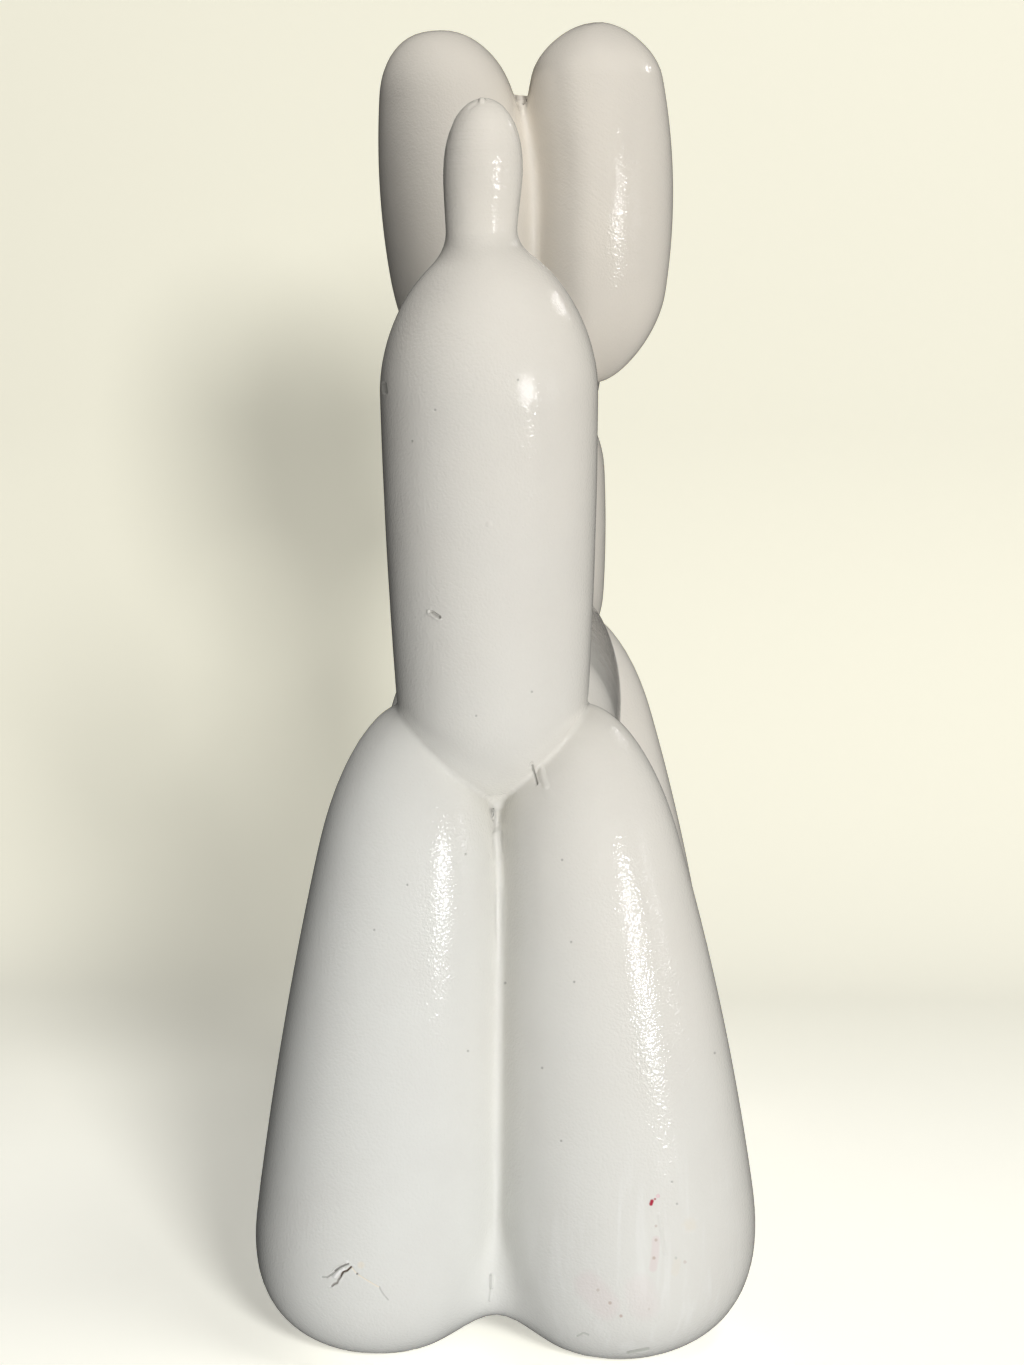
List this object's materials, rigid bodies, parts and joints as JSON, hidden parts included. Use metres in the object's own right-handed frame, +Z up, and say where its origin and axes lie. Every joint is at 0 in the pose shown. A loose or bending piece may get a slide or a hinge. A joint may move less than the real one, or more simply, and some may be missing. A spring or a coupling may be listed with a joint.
{
  "type": "balloon dog sculpture",
  "caption": "Standing dog of twisted balloon bubbles, cast as one solid and painted gloss white, with an upright tail, upright ears and small flat soles.",
  "frame": {"origin": "middle of the footprint at floor level, the bottom centre of the bounding box", "axes": "+Z up; -Y is the way the snout points, +Y the tail; +X is the dog's own left side"},
  "size_m": [0.1093, 0.2995, 0.3],
  "materials": {
    "white_paint": "gloss"
  },
  "bodies": {
    "root": {"balloon_dog": "white_paint"}
  },
  "joints": []
}
